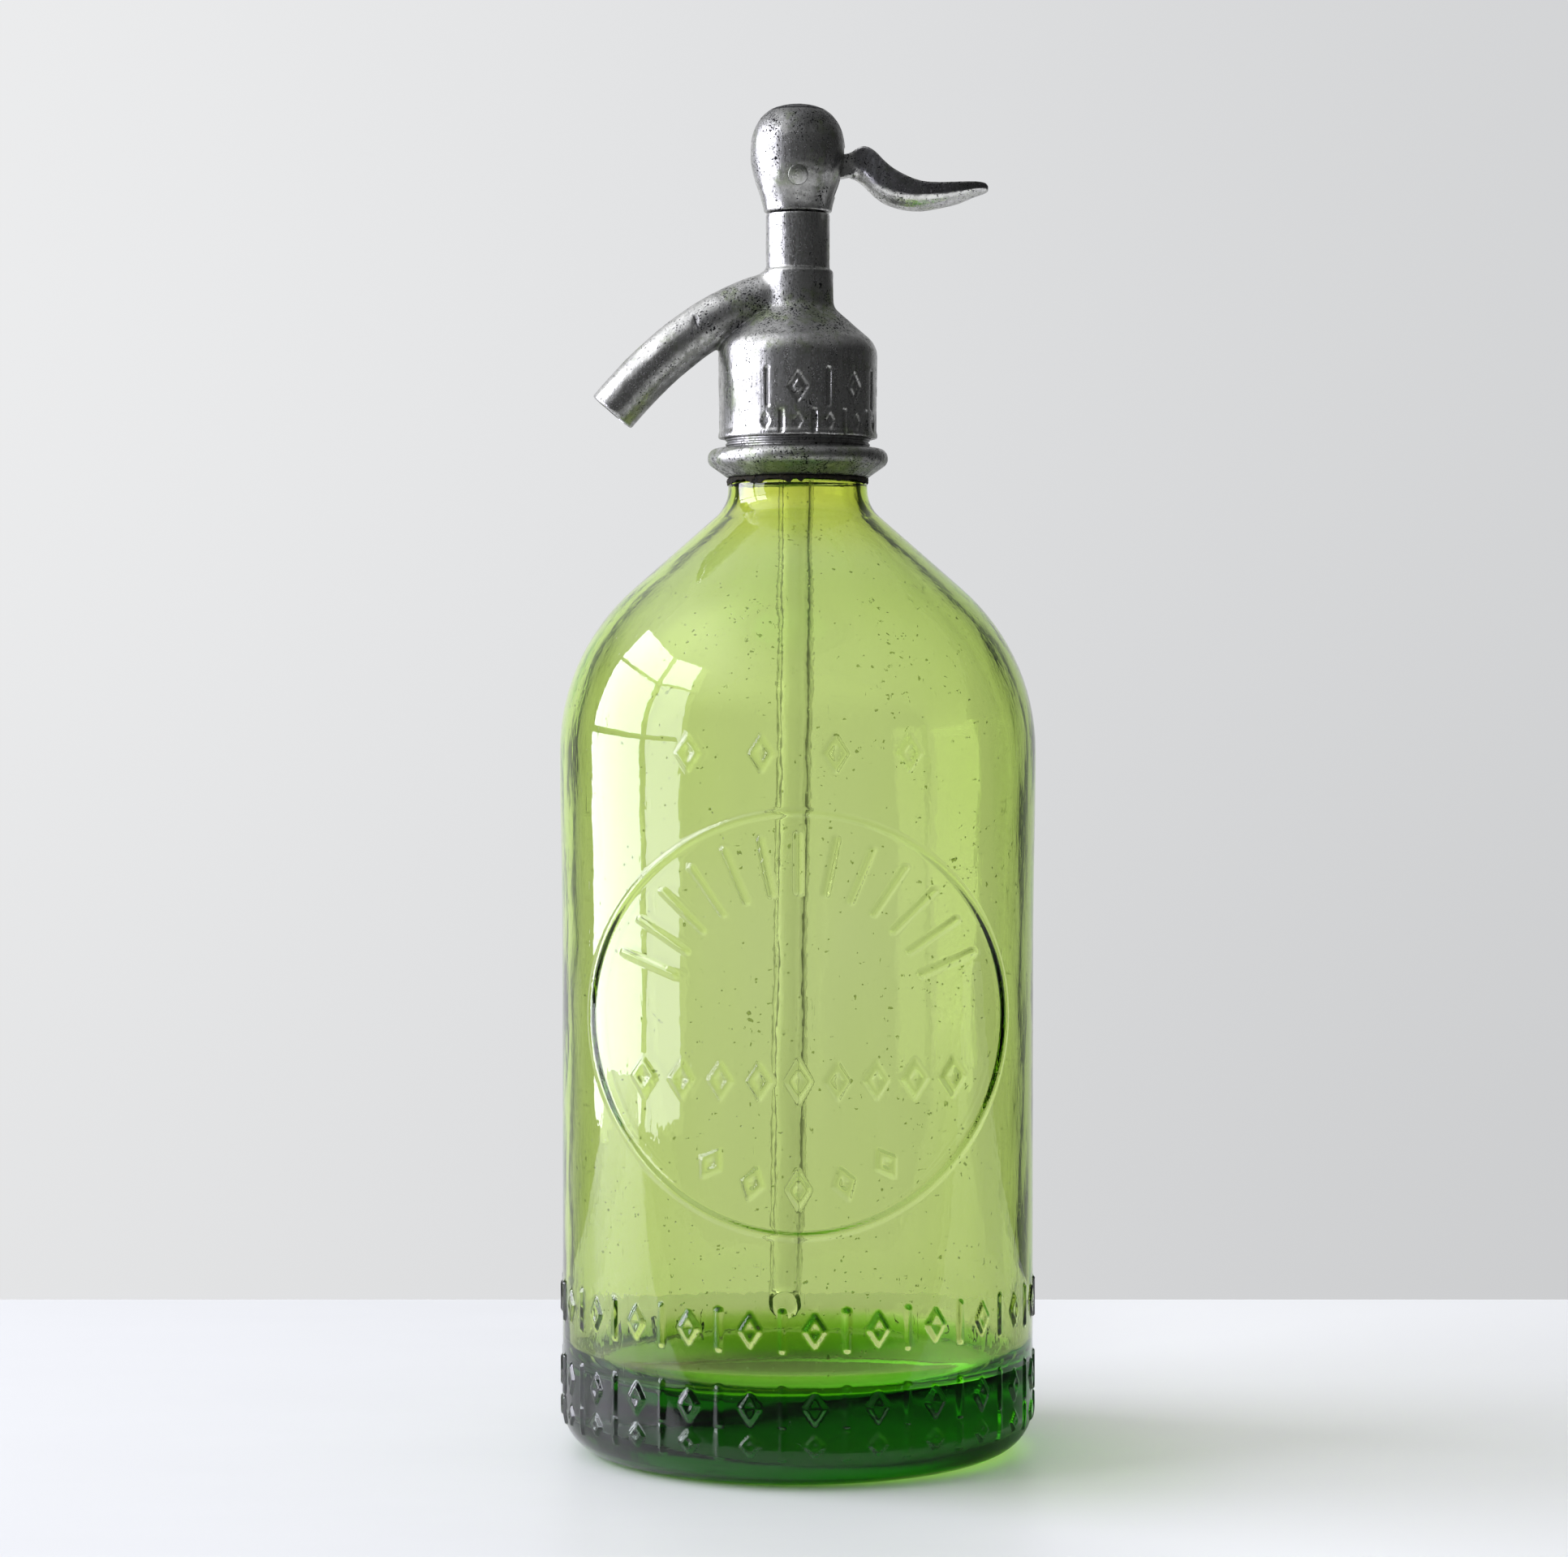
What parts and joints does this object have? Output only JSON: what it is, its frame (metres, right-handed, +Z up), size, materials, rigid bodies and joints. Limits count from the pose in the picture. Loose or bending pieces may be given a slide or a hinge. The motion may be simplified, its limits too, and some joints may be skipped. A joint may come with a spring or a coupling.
{
  "type": "soda siphon",
  "caption": "Glass soda siphon with a screwed metal head, curved spout and a thumb lever that opens a spring-loaded valve.",
  "frame": {"origin": "centre of the ring that the bottle stands on", "axes": "+Z up along the bottle's axis, the spout points to -X and the lever to +X"},
  "size_m": [0.1108, 0.1112, 0.3133],
  "materials": {
    "green_glass": "clear yellow-green glass, dark at the thick base, rubbed and scratched",
    "clear_glass": "clear glass tube",
    "aged_tin": "cast tin alloy, worn bright on the high places, grey and pitted elsewhere",
    "brass": "dull turned brass",
    "steel": "plain steel wire and pin",
    "rubber": "matte black rubber",
    "packing": "dark, dry, crumbling packing"
  },
  "bodies": {
    "root": {"bottle": "green_glass", "dip_tube": "clear_glass", "tube_sleeve": "rubber", "collar_back": "aged_tin", "collar_front": "aged_tin", "collar_packing": "packing", "neck_gasket": "rubber", "head_body": "aged_tin", "valve_cage": "brass", "cage_gasket": "rubber", "stem_packing": "packing", "gland_nut": "brass", "return_spring": "steel", "ball_cap": "aged_tin", "pivot_pin": "steel"},
    "lever": {"lever": "aged_tin"},
    "plunger": {"valve_stem": "brass", "stem_button": "brass", "valve_disc": "rubber", "valve_holder": "brass", "valve_nut": "brass"}
  },
  "joints": [
    {"name": "lever_turn", "type": "hinge", "parent": "root", "child": "lever", "pos_m": [0, 0, 0.2952], "axis": [0, 1, 0], "range_deg": [0, 22], "stiffness_Nm_per_rad": 0.8, "springref_deg": -5.73},
    {"name": "stem_slide", "type": "slide", "parent": "root", "child": "plunger", "axis": [0, 0, -1], "range_m": [0, 0.00124], "deforming": ["return_spring"]}
  ],
  "couplings": [
    {"joint": "stem_slide", "follows": "lever_turn", "m_per_rad": 0.0032}
  ]
}
